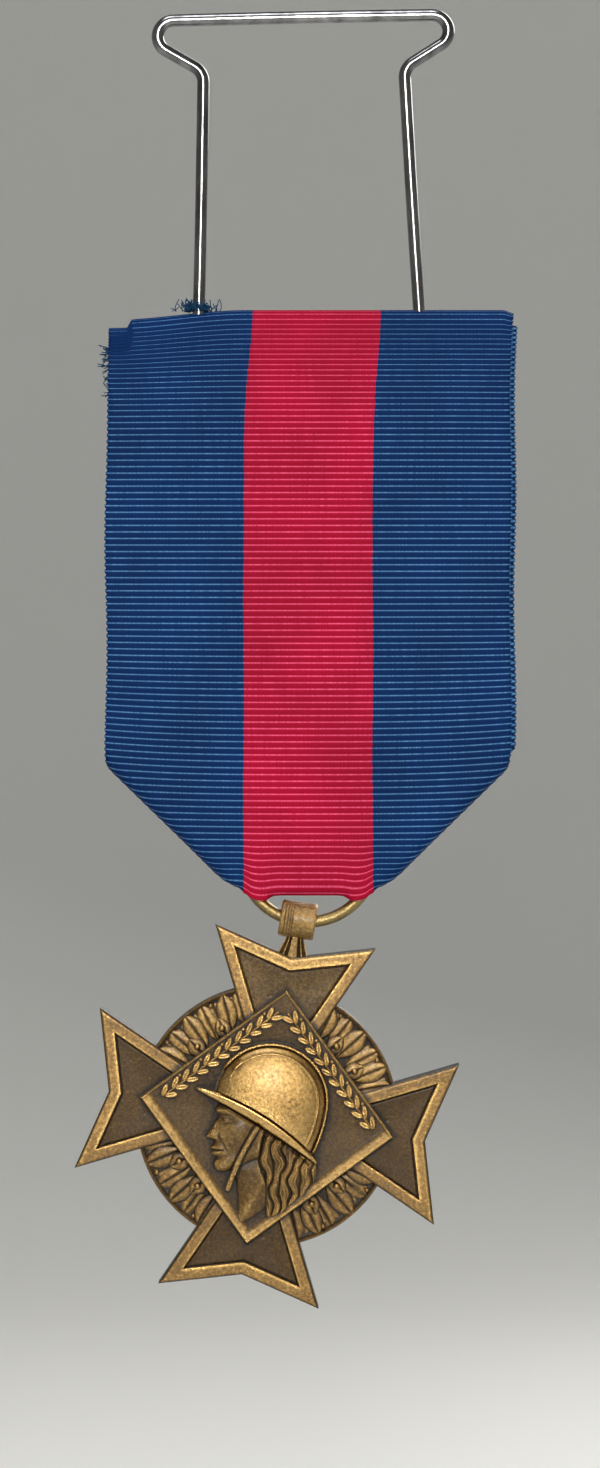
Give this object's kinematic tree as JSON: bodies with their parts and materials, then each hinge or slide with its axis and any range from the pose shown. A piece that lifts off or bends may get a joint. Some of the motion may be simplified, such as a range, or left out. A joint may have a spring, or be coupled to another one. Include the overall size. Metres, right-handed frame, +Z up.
{
  "type": "military service medal",
  "caption": "Struck bronze cross with a helmeted head in profile, hung by a barrel and wire ring from a blue, red and blue ribbon on a two-pronged wire pin.",
  "frame": {"origin": "middle of the pin's crossbar", "axes": "+Z up along the hanging medal, front faces -Y, +X to the right seen from the front"},
  "size_m": [0.0399, 0.0055, 0.1191],
  "materials": {
    "steel_wire": "polished drawn steel wire",
    "blue_silk": "ribbed woven silk ribbon, blue",
    "red_silk": "ribbed woven silk ribbon, red",
    "thread": "sewing thread, blue",
    "ring_brass": "dull brass wire",
    "bronze": "struck bronze with brown patina, worn bright on the high points"
  },
  "bodies": {
    "pin": {"pin_wire": "steel_wire"},
    "ribbon": {"ribbon_left_stripe": "blue_silk", "ribbon_centre_stripe": "red_silk", "ribbon_right_stripe": "blue_silk", "left_corner_fold": "blue_silk", "right_corner_fold": "blue_silk", "lap_stitches": "thread", "corner_stitches": "thread"},
    "ring": {"suspension_ring": "ring_brass"},
    "medal": {"suspension_barrel": "bronze", "neck": "bronze", "cross": "bronze", "wreath": "bronze", "berries": "bronze", "plaque": "bronze", "laurel_spray": "bronze", "helmet": "bronze", "helmet_comb": "bronze", "helmet_badge": "bronze", "head": "bronze", "hair": "bronze", "chin_strap": "bronze", "reverse_tablet": "bronze"}
  },
  "joints": [
    {"name": "ribbon_slide", "type": "slide", "parent": "pin", "child": "ribbon", "axis": [-0.0209, 0, 0.9998], "range_m": [-0.012, 0.02]},
    {"name": "ring_turn", "type": "hinge", "parent": "ribbon", "child": "ring", "pos_m": [0.0005, 0, -0.0768], "axis": [0, 1, 0], "range_deg": [-23, 5]},
    {"name": "medal_swing", "type": "hinge", "parent": "ring", "child": "medal", "pos_m": [-0.00044, 0, -0.08277], "axis": [0.9877, 0, -0.1564], "range_deg": [-110, 92]}
  ]
}
